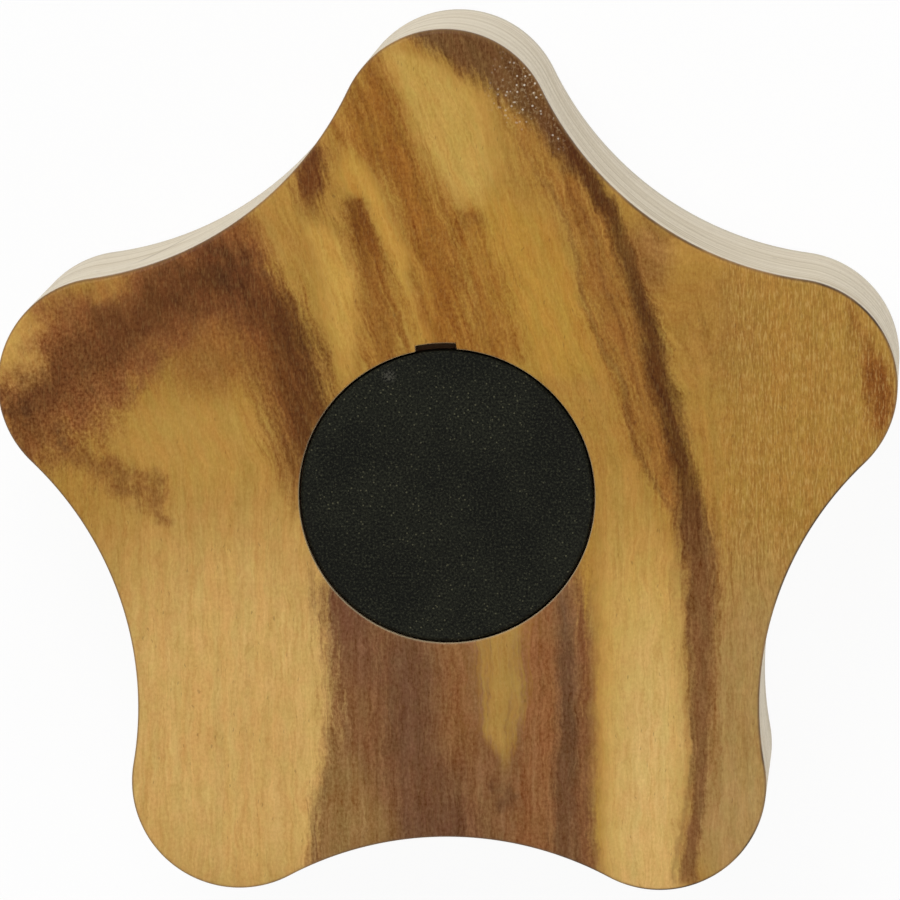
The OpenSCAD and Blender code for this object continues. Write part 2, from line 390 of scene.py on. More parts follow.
# Streaks that run up the face: colour, strength, softness, fray, points of (y, x, half width, strength)
UP_STREAKS = [
    # Pale band through the top lobe
    ("#c29c4e", 0.95, 0.8, 0.9, [
        (30.6, -3.6, 0.8, 0.5), (28.8, -1.5, 2.2, 1), (27, -0.4, 2.6, 1), (24.7, 0.4, 2.6, 1),
        (22.1, 1.3, 2, 1), (20.6, 1.7, 1.3, 0.9), (19.3, 2, 0.8, 0.3)]),
    # Wider and fainter below
    ("#b88b38", 0.75, 0.9, 1.2, [
        (20.5, 3.4, 1.8, 0.5), (18, 4.4, 3, 1), (15, 5.8, 3.6, 1), (12, 7, 3.2, 1), (9, 8, 2.6, 0.8)]),
    # Orange band that comes down from the left of the top lobe
    ("#915c1e", 0.9, 0.8, 1.0, [
        (31.3, -5.2, 0.8, 0.6), (28.8, -5.3, 1.4, 0.9), (27, -5, 1.95, 1), (24.7, -4.6, 2.4, 1),
        (22.1, -2.8, 1.9, 1), (19.5, -1.6, 1.9, 1), (17.7, -1, 1.7, 1), (15.8, -0.7, 1.75, 1),
        (13.6, -0.5, 1.7, 1), (10.5, -0.2, 1.4, 1)]),
    # Orange smear above the cap
    ("#925d1e", 0.7, 0.9, 1.2, [
        (20, 1.6, 0.5, 0.3), (19.2, 1.6, 0.8, 1), (17, 2.2, 1.1, 0.8), (15, 2.7, 1.4, 0.9),
        (12, 2.8, 1.7, 1), (10, 3.1, 2, 1)]),
    # Pale streak left of the orange band, and a thin one beside its foot
    ("#bf9140", 0.92, 0.7, 1.3, [
        (23.4, -6.5, 0.5, 0.5), (22.5, -6.2, 0.85, 0.9), (21.5, -5.9, 1.1, 1), (20.4, -4.9, 0.8, 1),
        (18.2, -4, 0.8, 1), (16.6, -3.3, 0.75, 1), (14.6, -3.1, 0.5, 0.9), (12.6, -2.5, 0.6, 0.8),
        (10.9, -1.6, 0.7, 0.7)]),
    ("#b98a3a", 0.4, 0.8, 1.3, [
        (17.2, -2.5, 0.15, 0.4), (16, -2, 0.28, 1), (14, -1.3, 0.32, 1), (12.6, -0.95, 0.28, 0.8),
        (11.5, -0.9, 0.2, 0.4)]),
    # Golden wood right of the arch, and the golden band left of the dark streak
    ("#ad8139", 0.8, 0.9, 1.0, [
        (21.6, -11.4, 0.8, 0.5), (20, -11.2, 1.3, 1), (18.5, -10.5, 1.4, 1), (16.5, -9.8, 1.1, 0.6),
        (14, -9.4, 0.8, 0.2)]),
    ("#c69b4a", 0.92, 0.7, 1.1, [
        (19, -9.1, 0.6, 0.4), (18.2, -8.7, 0.9, 0.8), (16.5, -7.5, 1.3, 1), (14.2, -7.1, 1.45, 1),
        (12.3, -7, 1.2, 0.95), (10.5, -6.8, 0.9, 0.8), (8.5, -6.8, 0.6, 0.4)]),
    # Brown band under the dark streak
    ("#8c581e", 0.85, 0.7, 1.0, [
        (18.4, -5.8, 0.9, 0.7), (16.5, -5.2, 1.1, 1), (14.3, -4.7, 1.2, 0.9), (12, -4.3, 1.4, 0.9),
        (9.5, -4.1, 1.4, 0.9)]),
    # The dark streak itself
    ("#6f3c0c", 0.85, 0.9, 1.0, [
        (21.3, -6.2, 0.4, 0), (20.2, -6.2, 0.7, 0.9), (18.9, -6, 0.8, 1), (17.6, -5.7, 0.8, 0.7),
        (15.5, -5.4, 0.7, 0.2)]),
    # Dark patch at the upper left edge
    ("#673513", 0.95, 0.8, 0.8, [
        (24.8, -9.5, 0.6, 0.5), (23.4, -9.2, 1, 1), (21.5, -9.2, 1, 1), (20.4, -9.3, 0.8, 0.7),
        (19.2, -9, 0.7, 0.3)]),
    # Right leg of the dark arch in the left lobe, soft, and then its dark middle
    ("#7f4d21", 0.95, 0.9, 0.9, [
        (18.4, -15.2, 1.7, 0.9), (16.3, -14.5, 2.2, 1), (13.6, -12.9, 2.4, 1), (11, -12, 2.4, 1),
        (7.7, -10.9, 2.1, 1), (5.5, -10.5, 1.85, 1), (3.2, -10.6, 1.4, 0.9), (1, -10.6, 0.8, 0.7),
        (-0.9, -10.3, 0.4, 0.4)]),
    ("#522c0e", 0.9, 1.0, 1.0, [
        (17.4, -15.9, 1.1, 0.5), (15.9, -15.2, 1.6, 0.9), (14.4, -13.5, 1.7, 1), (12.8, -11.9, 1.5, 1),
        (11, -10.9, 1.4, 1), (7.7, -10, 1.4, 0.85), (5.5, -9.6, 1.3, 0.9), (3, -9.8, 0.9, 0.6),
        (1, -10.2, 0.5, 0.2)]),
    # Brown zone below the cap
    ("#825936", 1.0, 0.6, 0.9, [
        (-4.5, 0.3, 8.3, 1), (-6.8, 0.6, 8.9, 1), (-10.5, 1, 9.2, 1), (-14.5, 1.1, 9.1, 1),
        (-18, 0.9, 9.3, 1), (-21, 0.6, 9.6, 1), (-24, 0.4, 9.8, 1), (-27, 0.4, 9.9, 1)]),
    # Darker, redder wood in that zone: under the cap's left, in the middle and at the foot
    ("#6b4430", 0.75, 0.9, 0.9, [
        (-4, -6.6, 1.4, 0.8), (-7, -6.6, 1.8, 1), (-10, -6.2, 1.6, 0.8), (-13, -5.6, 1.3, 0.4),
        (-15, -5.2, 1, 0)]),
    ("#66432f", 0.75, 0.9, 0.9, [
        (-9, -3, 1.2, 0.3), (-13, -2.6, 1.8, 0.9), (-17, -2.4, 1.8, 0.9), (-20, -1.6, 2.3, 0.8),
        (-23, -0.9, 2.8, 1), (-26, -0.8, 2.8, 1)]),
    # Paler wash along the left of the zone, with a darker edge
    ("#957242", 0.85, 0.8, 0.9, [
        (-17, -7.6, 0.8, 0.3), (-20, -7.2, 1.6, 0.9), (-22, -6.8, 2.3, 1), (-27, -6.6, 2.6, 1)]),
    ("#74512f", 0.55, 0.8, 0.6, [(-19, -8.4, 0.25, 0.3), (-22, -9.1, 0.3, 0.8), (-26, -9.3, 0.3, 0.8)]),
    # Warmer wood either side of the tongue
    ("#935f36", 0.75, 0.8, 0.9, [
        (-7, 6, 1.3, 0.9), (-13, 6.2, 1.5, 1), (-19, 6.4, 1.4, 0.9), (-26, 6.2, 1.5, 0.8)]),
    ("#8f5f36", 0.7, 0.8, 0.9, [(-9, 0.8, 1.1, 0.9), (-14, 0.8, 1.3, 0.9), (-18, 1, 1.3, 0.4)]),
    # Pale tongue in the zone
    ("#b18a45", 0.92, 0.8, 2.2, [
        (-8, 3.3, 1.4, 1), (-10.5, 3.4, 1.3, 1), (-13.3, 3.55, 1.2, 1), (-16, 3.4, 1.05, 1),
        (-17.2, 3.7, 0.65, 0.9), (-18.3, 3.8, 0.35, 0.5)]),
    # Grey-dark line, reddish line and cream band at the right of the zone
    ("#66472f", 0.85, 0.9, 1.4, [
        (-6.5, 8, 0.3, 0.5), (-9, 8.1, 0.5, 1), (-12, 8.2, 0.65, 1), (-15, 8.2, 0.65, 1),
        (-18, 8.1, 0.7, 0.9), (-21, 8, 0.85, 0.8), (-25, 7.9, 0.9, 0.7)]),
    ("#7d4c2b", 0.6, 0.9, 1.5, [
        (-7, 9, 0.3, 0.7), (-10, 9.5, 0.45, 1), (-14, 9.7, 0.5, 1), (-18, 9.6, 0.5, 0.9),
        (-22, 9.3, 0.5, 0.8), (-26, 9.6, 0.5, 0.7)]),
    ("#caa156", 0.95, 0.6, 0.7, [
        (2, 11.8, 1, 0.15), (-2, 12.6, 2, 0.45), (-5, 13.2, 2.9, 0.8), (-9, 13.5, 3.1, 1),
        (-15, 13.6, 3.1, 1), (-20, 13.5, 3.05, 1), (-27, 13.3, 2.8, 1)]),
    ("#d9b36f", 0.85, 0.9, 0.8, [
        (-7, 13.6, 1.2, 0.2), (-13, 14, 1.9, 0.7), (-20, 13.8, 2.2, 1), (-27, 13.4, 2.1, 1)]),
    # Brown wood between the fine line and the dark heart streak
    ("#956329", 0.85, 0.7, 1.2, [
        (27, 4.6, 1, 0.3), (24, 6.6, 1.3, 0.6), (20, 9.4, 1.6, 0.9), (16.5, 10.7, 1.7, 1),
        (12.5, 11.8, 1.9, 1), (9.5, 12.7, 1.7, 1), (7.5, 13.4, 1.4, 1), (4, 14.2, 1.4, 1),
        (2, 14.8, 1.2, 1), (0, 15.7, 0.9, 1), (-2, 16.4, 0.5, 0.5)]),
    # Fine dark lines along its left and through it
    ("#6b431f", 0.36, 0.8, 0.9, [
        (27, 3.6, 0.15, 0), (25, 4.8, 0.2, 0.4), (22.2, 6.3, 0.2, 0.7), (19.4, 8, 0.21, 1),
        (16.5, 9, 0.21, 1), (12.5, 9.9, 0.2, 1), (9.6, 11, 0.2, 1), (7.6, 12, 0.2, 1),
        (4, 12.7, 0.18, 1), (2, 13.6, 0.18, 1), (0, 14.8, 0.18, 1), (-1.3, 15.7, 0.18, 0.6)]),
    ("#74481f", 0.5, 0.8, 0.6, [
        (22, 8, 0.12, 0.4), (18, 10, 0.15, 0.8), (14, 11.2, 0.15, 0.8), (10, 12.3, 0.15, 0.8),
        (6, 13.5, 0.15, 0.6), (3, 14.4, 0.12, 0)]),
    # Brown wash over the right of the top lobe
    ("#654224", 0.92, 0.7, 0.8, [
        (32.3, -0.1, 2.8, 0.9), (31.3, 1.3, 3.1, 1), (29.9, 3, 2.7, 1), (28.2, 4.7, 2.2, 1),
        (27, 5.7, 1.8, 1), (25.8, 6.9, 1.3, 1), (24.4, 7.8, 1.05, 1), (23, 8.7, 0.8, 0.8)]),
    # Dark heart streak: a soft halo, reddish below, nearly black brown above
    ("#8a5a30", 0.55, 0.9, 0.8, [
        (2, 16, 1.2, 0.3), (-3, 17.1, 1.5, 0.8), (-9, 17.5, 1.4, 0.9), (-15, 17.6, 1.2, 0.9),
        (-20, 17.4, 1, 0.8), (-24, 16.8, 0.9, 0.7)]),
    ("#7f5630", 0.97, 0.6, 0.6, [
        (0, 16.6, 0.8, 0.5), (-3, 17, 0.95, 1), (-6, 17.3, 0.95, 1), (-9, 17.4, 0.9, 1),
        (-13, 17.4, 0.75, 1), (-17, 17.3, 0.66, 1), (-20, 17.3, 0.55, 1), (-23, 16.9, 0.55, 1),
        (-26, 16.4, 0.6, 0.9)]),
    ("#4f2809", 0.95, 0.8, 0.6, [
        (31.5, 2.6, 1.1, 0.1), (30.3, 4, 1.1, 0.3), (27.7, 6.5, 1.1, 0.4), (25.3, 7.9, 1, 0.7),
        (23, 9.1, 0.85, 1), (20.6, 10.6, 0.75, 1), (18.4, 11.7, 0.65, 0.88), (16.2, 12.5, 0.6, 0.82),
        (13.7, 13.3, 0.7, 0.95), (11.1, 14, 0.8, 1), (8.1, 14.6, 0.9, 1), (5.4, 15.3, 0.9, 1),
        (2.7, 15.9, 0.8, 0.95), (0.9, 16.4, 0.85, 0.85), (-1.5, 16.8, 0.85, 0.6), (-4, 17, 0.8, 0.28),
        (-7, 17.2, 0.7, 0.04), (-10, 17.3, 0.7, 0)]),
    # Its fine left edge in the lower half
    ("#664224", 0.38, 0.9, 0.9, [
        (-2, 16.2, 0.12, 0.5), (-8, 16.5, 0.14, 0.8), (-14, 16.7, 0.14, 0.8), (-18, 16.7, 0.14, 0.8),
        (-22, 16.2, 0.15, 0.9), (-26, 15.4, 0.18, 0.9)]),
    # Brown streak and spot near the tip of the right lobe
    ("#864a17", 0.9, 0.8, 0.8, [
        (13, 27.6, 0.3, 0.3), (10, 28.7, 0.6, 0.7), (8, 29.4, 0.9, 1), (6, 29.6, 0.8, 1),
        (4.5, 29.4, 0.4, 0.4)]),
]

# Streaks that run across the face: colour, strength, softness, fray, points of (x, y, half width, strength)
CROSS_STREAKS = [
    # Left leg of the arch, a broad cloud in the left lobe, and then its dark middle
    ("#86522a", 0.95, 1.1, 1.2, [
        (-30.4, 5.6, 2.8, 0.9), (-28.6, 7, 4.6, 1), (-26.6, 8.6, 5.6, 1), (-24.6, 9.2, 5.2, 1),
        (-22.6, 10.6, 5, 1), (-20.6, 12.4, 4.5, 1), (-18.6, 14, 4, 1), (-16.8, 14.9, 3.6, 1),
        (-15, 15, 3.4, 1), (-13.4, 14.4, 3, 0.9), (-12.2, 13.6, 2, 0.4)]),
    ("#572f12", 0.95, 1.2, 1.3, [
        (-29.6, 5.4, 1.6, 0.9), (-28, 6.8, 2.2, 0.75), (-26, 8.6, 2.5, 0.7), (-23.4, 10.3, 2.4, 0.75),
        (-20.6, 12.4, 2.2, 0.85), (-18.6, 13.9, 2.1, 0.9), (-16.9, 14.9, 2.2, 0.95), (-15, 14.9, 2.1, 1),
        (-13.4, 14.2, 1.9, 1), (-12.2, 13.2, 1.2, 0.7)]),
    # Brown tongue under it
    ("#7d4d22", 0.8, 1.2, 1.2, [
        (-29, 4.4, 1.4, 0.9), (-26.4, 3, 1.3, 0.9), (-24.2, 2.3, 1.2, 1), (-22.4, 1.5, 1.1, 1),
        (-20.8, 0.5, 1, 0.95), (-19.6, -0.5, 0.8, 0.9), (-18.9, -1.3, 0.5, 0.5)]),
]

# Spots over the streaks: colour, centre, radii, strength
FACE_SPOTS = [
    ("#c99b50", (-29.8, 10.6), (3.2, 4.4), 0.95),
    ("#ad7c3a", (-23.4, 14.2), (1.4, 2.2), 0.7),
    ("#4d2e17", (-15.4, 15.4), (2.6, 1.6), 0.5),
    ("#4f3018", (-29.0, 6.0), (1.6, 1.0), 0.6),
    ("#4f3018", (-26.6, 4.0), (1.2, 0.9), 0.5),
    ("#5b3a22", (3.7, -20.8), (1.2, 1.3), 0.6),
    ("#85541f", (1.4, 19.0), (1.1, 1.1), 0.6),
]

# Where pinholes in the varnish catch the light, shown as painted glints: centre, radii
GLINT_SPOTS = [((5.6, 28.0), (3.2, 3.8)), ((7.8, 25.6), (1.5, 2.4))]

# Middle and radii of the cloudy wood in the left lobe
CLOUDY = ((-22.0, 9.0), (12.0, 11.0))

# Middle and radii of the wood with the coarsest speckle, at the left tip
SPECKLED = ((-27.0, 7.5), (8.0, 7.0))

# How much a lighter or darker fibre changes red, green and blue: red least, so dark fibres stay warm
FIBRE_SHARES = (0.68, 1.0, 1.4)

# Above this y the grain leans, by this much sideways for each millimetre up
LEAN_START = 2.0
LEAN = 0.34

# How far the streaks sway, waver and jump, and how far the arch drifts, in millimetres
SWAY = 0.8
WAVER = 0.6
NICK = 0.4
DRIFT = 4.0

# How much more the streaks up the face fray than those across it
UP_FRAY = 1.5


def figured_face():
    """Varnished olive-like wood with a painted figure, fibres, pores and a few painted glints."""
    p = Paint("figured_face")
    vector, x, y, z = p.millimetres()

    def around_zero(coordinates, factors, detail=2.0, roughness=0.5):
        return p.math("SUBTRACT", p.noise(p.stretch(coordinates, factors), detail, roughness, True), 0.5)

    # The streaks sway and waver a little, and the arch drifts both ways
    sway = around_zero(vector, (0.28, 0.10, 0.0))
    waver = around_zero(vector, (0.7, 0.32, 0.0), 3.0, 0.6)
    nick = around_zero(vector, (1.6, 1.0, 0.0), 3.0, 0.6)
    shift = p.math("MULTIPLY_ADD", waver, WAVER, p.math("MULTIPLY", sway, SWAY))
    shift = p.math("MULTIPLY_ADD", nick, NICK, shift)
    grain_x = p.math("ADD", x, shift)
    cloud = around_zero(vector, (0.45, 0.45, 0.0), 4.0, 0.55)
    other_cloud = around_zero(p.join(y, p.math("ADD", x, 90.0), 0.0), (0.45, 0.45, 0.0), 4.0, 0.55)
    drift_x = p.math("MULTIPLY_ADD", cloud, DRIFT, x)
    drift_y = p.math("MULTIPLY_ADD", other_cloud, DRIFT, y)
    # The fibres lean with the streaks in the upper half, and stand upright in the right lobe
    rise = p.math("MAXIMUM", p.math("SUBTRACT", y, LEAN_START), 0.0)
    lean = p.math("MULTIPLY", p.math("MULTIPLY", rise, LEAN), p.ramp(x, 20.0, 13.0))
    flow = p.join(p.math("ADD", grain_x, lean), y, 0.0)
    # Long fibres show least in the cloudy wood of the left lobe
    calm = p.math("MULTIPLY_ADD", p.spot(x, y, *CLOUDY, 0.4), -0.75, 1.0)
    long_fibre = p.math("MULTIPLY", around_zero(flow, (1.5, 0.08, 0.0), 4.0, 0.7), calm)
    short_fibre = p.math("MULTIPLY", around_zero(flow, (5.0, 0.32, 0.0), 3.0, 0.65), calm)
    vein = p.math("MULTIPLY", around_zero(flow, (2.4, 0.06, 0.0), 4.0, 0.7), calm)
    speckle = around_zero(vector, (5.0, 4.0, 0.0), 2.0, 0.6)
    grain = p.math("MULTIPLY", speckle, p.math("MULTIPLY_ADD", p.spot(x, y, *SPECKLED, 0.3), 0.9, 1.1))
    mottle = around_zero(flow, (1.4, 0.5, 0.0), 4.0, 0.65)
    fray = p.math("MULTIPLY_ADD", grain, 0.25, p.math("MULTIPLY_ADD", short_fibre, 0.35, long_fibre))

    tone = colour("#aa7f38")
    for code, centre, radii, strength in FACE_TONES:
        tone = p.mix(p.spot(grain_x, y, centre, radii, 0.3, strength), tone, colour(code))
    along, across = p.span(y), p.span(grain_x)
    for code, strength, soft, wear, points in UP_STREAKS:
        share = p.streak(along, across, points, strength, soft, fray, UP_FRAY * wear)
        tone = p.mix(share, tone, colour(code))
    along, across = p.span(drift_x), p.span(drift_y)
    for code, strength, soft, wear, points in CROSS_STREAKS:
        share = p.streak(along, across, points, strength, soft, fray, wear)
        tone = p.mix(share, tone, colour(code))
    for code, centre, radii, strength in FACE_SPOTS:
        tone = p.mix(p.spot(drift_x, drift_y, centre, radii, 0.0, strength), tone, colour(code))

    # Redder and greener growth, then lighter and darker fibres and grain, stronger in dark wood
    blotch = p.noise(p.stretch(flow, (0.9, 0.5, 0.0)), 3.0, 0.6, True)
    tone = p.tint(tone, p.mix(p.ramp(blotch, 0.3, 0.7), (1.03, 0.985, 1.01, 1.0), (0.98, 1.01, 0.97, 1.0)))
    growth = p.noise(p.stretch(flow, (0.9, 0.05, 0.0)), 3.0, 0.65, True)
    tone = p.tint(tone, p.mix(p.ramp(growth, 0.3, 0.7), (1.03, 0.99, 0.94, 1.0), (0.98, 1.0, 0.98, 1.0)))
    dark = p.ramp(p.lightness(tone), 0.32, 0.09)
    fibres = [(long_fibre, 0.33, 0.9), (vein, 0.18, 0.75), (short_fibre, 0.5, 0.9), (grain, 0.34, 1.1),
              (mottle, 0.3, 0.7)]
    change = 0.0
    for fibre, pale_share, dark_share in fibres:
        change = p.math("MULTIPLY_ADD", fibre, p.ramp(dark, 0.0, 1.0, pale_share, dark_share), change)
    tone = p.tint(tone, p.join(*[p.math("MULTIPLY_ADD", change, share, 1.0) for share in FIBRE_SHARES]))

    # Short upright dashes of light and dark fibre, most of them in the right lobe
    dash = p.noise(p.stretch(vector, (8.0, 1.4, 0.0)), 2.0, 0.6, True)
    many = p.math("MULTIPLY", p.ramp(x, 17.5, 20.5, 0.15, 0.65), p.ramp(y, -9.0, -3.0, 0.5, 1.0))
    tone = p.mix(p.math("MULTIPLY", p.ramp(dash, 0.5, 0.72, 0.0, 0.65), many), tone, colour("#cfaa66"))
    tone = p.mix(p.math("MULTIPLY", p.ramp(dash, 0.5, 0.28, 0.0, 0.55), many), tone, colour("#7d5826"))

    # Short dark pores along the grain
    pore = p.cells(p.join(p.math("MULTIPLY", grain_x, 2.6), p.math("MULTIPLY", y, 0.7), 0.0))
    tone = p.mix(p.ramp(pore, 0.14, 0.05, 0.0, 0.35), tone, colour("#5a3a1c"))

    # Painted glints: pinholes that catch the light, near the upper right edge, with fine pale specks round
    # them that are partly dust and partly painted sparkle
    near = 0.0
    for centre, radii in GLINT_SPOTS:
        near = p.math("MAXIMUM", near, p.spot(x, y, centre, radii))
    # Pale specks near the glints: partly dust, partly painted sparkle of the varnish
    dust = p.math("MULTIPLY", p.ramp(speckle, 0.02, 0.2, 0.0, 0.4), near)
    tone = p.mix(dust, tone, colour("#b09a78"))
    # Painted glints: pale dots at the pinholes
    pinhole_glint = p.cells(p.stretch(vector, (2.8, 2.8, 0.0)))
    tone = p.mix(p.math("MULTIPLY", p.ramp(pinhole_glint, 0.26, 0.13), near), tone, colour("#d6cab6"))

    # The cut edge of the layer: dark brown outside and darker towards the right, paler in the pocket
    below = p.ramp(z, FACE_TOP - 0.01, FACE_TOP - 0.12)
    radius = p.math("SQRT", p.math("MULTIPLY_ADD", x, x, p.math("MULTIPLY", y, y)))
    edge_noise = p.ramp(p.noise(p.stretch(vector, (0.2, 0.2, 0.2)), 3.0), 0.35, 0.6)
    edge_darkening = p.math("MULTIPLY", edge_noise, p.ramp(x, 0.0, 16.0, 0.3, 1.0))
    dark_edge = p.mix(edge_darkening, colour("#80603a"), colour("#46301c"))
    edge = p.mix(p.ramp(radius, 12.0, 13.0), colour("#d8c8a4"), dark_edge)
    tone = p.mix(p.math("MULTIPLY", below, p.math("MULTIPLY_ADD", edge_darkening, 0.35, 0.6)), tone, edge)

    # Varnish sunk a little between the fibres
    sunk = around_zero(vector, (5.0, 0.32, 0.0), 2.0, 0.65)
    p.set(Base_Color=tone, Roughness=p.math("MULTIPLY_ADD", sunk, 0.2, 0.45), Specular_IOR_Level=0.15)
    p.set(Normal=p.bump(sunk, 0.00002, 0.5))
    return p.material


# A slanting saw mark on the wall of the left flank: points of (x, z, half width, strength)
SAW_MARK = [(-21.6, 12.2, 0.6, 0.5), (-21, 10.8, 0.8, 1), (-19.8, 7.6, 0.7, 1), (-18.6, 4.3, 0.5, 0.6)]


def pale_wood():
    """Sanded pale hardwood: growth lines that wander, end grain, pores and a greyer rear edge."""
    p = Paint("pale_wood")
    vector, x, y, z = p.millimetres()
    # Growth lines: noise drawn out along gently sloping, bowed layers
    wander = p.noise(p.stretch(vector, (0.05, 0.05, 0.12)), 2.0)
    slope = p.math("MULTIPLY_ADD", x, 0.03, p.math("MULTIPLY", y, 0.06))
    bowed = p.math("MULTIPLY_ADD", p.math("MULTIPLY", y, y), 1 / 400, slope)
    level = p.math("ADD", z, p.math("MULTIPLY_ADD", wander, 3.0, bowed))
    # On the flat back the layers are met at a slant, so their lines lie closer there
    facing = p.nodes.new("ShaderNodeNewGeometry")
    parts = p.nodes.new("ShaderNodeSeparateXYZ")
    p.links.new(facing.outputs["Normal"], parts.inputs[0])
    flat = p.math("MULTIPLY", parts.outputs[2], parts.outputs[2])
    level = p.math("MULTIPLY_ADD", p.math("MULTIPLY", y, 0.6), flat, level)
    growth = p.noise(p.stretch(p.join(x, y, level), (0.04, 0.04, 1.1)), 5.0, 0.62)
    tone = p.mix(p.ramp(growth, 0.4, 0.7), colour("#dbd0ba"), colour("#c3b498"))
    tone = p.mix(p.ramp(growth, 0.6, 0.68, 0.0, 0.3), tone, colour("#a08f74"))
    # Fibres along x, and pores where the wall cuts across them
    fibre = p.noise(p.stretch(vector, (0.3, 1.8, 8.0)), 5.0, 0.65)
    tone = p.mix(p.ramp(fibre, 0.48, 0.78, 0.0, 0.45), tone, colour("#ab9a7d"))
    end_grain = p.math("MULTIPLY", parts.outputs[0], parts.outputs[0])
    pore = p.noise(p.stretch(vector, (4.0, 4.0, 4.0)), 3.0, 0.7)
    pores = p.math("MULTIPLY", p.ramp(pore, 0.5, 0.7), p.math("MULTIPLY_ADD", end_grain, 0.4, 0.12))
    tone = p.mix(pores, tone, colour("#8f7c5e"))
    dash = p.cells(p.stretch(vector, (0.3, 1.2, 1.4)))
    tone = p.mix(p.ramp(dash, 0.1, 0.05, 0.0, 0.75), tone, colour("#6b5a45"))
    # Greyer patches on the wall, most of them near the back face
    on_wall = p.math("SUBTRACT", 1.0, flat)
    greying = p.math("MULTIPLY", on_wall, p.ramp(wander, 0.4, 0.6, 0.15, 0.4))
    rear = p.math("MULTIPLY", p.ramp(z, 2.2, 0.3, 0.1, 1.0), greying)
    tone = p.mix(rear, tone, colour("#a59c8c"))
    mark = p.streak(p.span(x), p.span(z), SAW_MARK, 0.55, 0.8, fibre, 1.0)
    mark = p.math("MULTIPLY", mark, p.ramp(y, 0.0, 1.0))
    tone = p.mix(mark, tone, colour("#7c6650"))
    # Painted shade: the pocket is darkened brown, which shows in the pry notch
    radius = p.math("SQRT", p.math("MULTIPLY_ADD", x, x, p.math("MULTIPLY", y, y)))
    reach = POCKET_RADIUS + NOTCH_REACH
    pocket = p.ramp(radius, reach + 0.2, reach + 0.1)
    pocket = p.math("MULTIPLY", pocket, p.ramp(z, CAP_BOTTOM - 0.7, CAP_BOTTOM - 0.2))
    tone = p.mix(pocket, tone, colour("#a98566"))
    p.set(Base_Color=tone, Roughness=p.ramp(fibre, 0.3, 0.7, 0.55, 0.7), Specular_IOR_Level=0.3)
    p.set(Normal=p.bump(p.math("MULTIPLY_ADD", pore, -0.4, fibre), 0.00003, 0.5))
    return p.material


def black_plastic():
    """Matt black moulding with a spark-eroded grain, olive dust and one scuff."""
    p = Paint("black_plastic")
    vector, x, y, _ = p.millimetres()
    grain = p.noise(p.stretch(vector, (6.5, 6.5, 6.5)), 2.0, 0.7)
    cloud = p.noise(p.stretch(vector, (0.25, 0.25, 0.25)), 3.0)
    tone = p.mix(p.ramp(cloud, 0.35, 0.65), colour("#12130d"), colour("#1b1c14"))
    tone = p.mix(p.ramp(grain, 0.52, 0.32, 0.0, 0.9), tone, colour("#020201"))
    tone = p.mix(p.ramp(grain, 0.5, 0.72, 0.0, 0.7), tone, colour("#3c3d2f"))
    dust = p.cells(p.stretch(vector, (2.6, 2.6, 2.6)))
    worn = p.math("MULTIPLY", p.ramp(dust, 0.2, 0.08), p.ramp(cloud, 0.35, 0.6, 0.1, 0.6))
    tone = p.mix(worn, tone, colour("#66644c"))
    scuff = p.math("MULTIPLY", p.spot(x, y, (-3.9, 8.3), (0.7, 0.6)), p.ramp(grain, 0.4, 0.6))
    tone = p.mix(p.math("MULTIPLY", scuff, 0.5), tone, colour("#6a675c"))
    p.set(Base_Color=tone, Roughness=p.ramp(grain, 0.3, 0.7, 0.55, 0.72), Specular_IOR_Level=0.12)
    p.set(Normal=p.bump(grain, 0.00003, 0.5))
    return p.material


def turned_metal(name, dark, bright, rough):
    """Machined metal: fine rings from the lathe and a slight tarnish."""
    p = Paint(name)
    vector, x, y, z = p.millimetres()
    radius = p.math("SQRT", p.math("MULTIPLY_ADD", x, x, p.math("MULTIPLY", y, y)))
    ring = p.noise(p.join(p.math("MULTIPLY", radius, 4.0), p.math("MULTIPLY", z, 4.0), 0.0), detail=3.0)
    tarnish = p.noise(p.stretch(vector, (0.5, 0.5, 0.5)), 6.0, 0.7)
    shade = p.math("ADD", p.ramp(ring, 0.35, 0.65, 0.0, 0.5), p.ramp(tarnish, 0.35, 0.75, 0.0, 0.4))
    p.set(Base_Color=p.mix(shade, colour(bright), colour(dark)), Metallic=1.0)
    p.set(Roughness=p.math("MULTIPLY_ADD", ring, 0.25, rough))
    p.set(Normal=p.bump(ring, 0.00003, 0.6))
    return p.material


# Pieces

def wood_body(material):
    """The core: back face, rounded rear edge, side wall, top, then the pocket, well and bores."""
    seat = round_ring(FLANGE_SEAT_RADIUS, 0.0)
    flat = star_ring(EDGE_ROUND, 0.0)
    rings = [seat]
    rings += [between(seat, flat, share) for share in BACK_SHARES]
    for step in range(ROUND_STEPS + 1):
        sine, cosine = quarter(step)
        rings.append(star_ring(EDGE_ROUND * (1 - sine), EDGE_ROUND * (1 - cosine)))
    for row in range(1, SIDE_ROWS + 1):
        rings.append(star_ring(0.0, EDGE_ROUND + (CORE_TOP - EDGE_ROUND) * row / SIDE_ROWS))
    rings += [
        round_ring(POCKET_RADIUS, CORE_TOP, True),
        round_ring(POCKET_RADIUS, CAP_BOTTOM, True),
        round_ring(WELL_RADIUS, CAP_BOTTOM),
        round_ring(WELL_RADIUS, HUB_TOP),
        round_ring(HUB_BORE_RADIUS, HUB_TOP),
        round_ring(HUB_BORE_RADIUS, FLANGE_SEAT_DEPTH),
        round_ring(FLANGE_SEAT_RADIUS, FLANGE_SEAT_DEPTH),
    ]
    return looped_mesh("wood_body", rings, material)


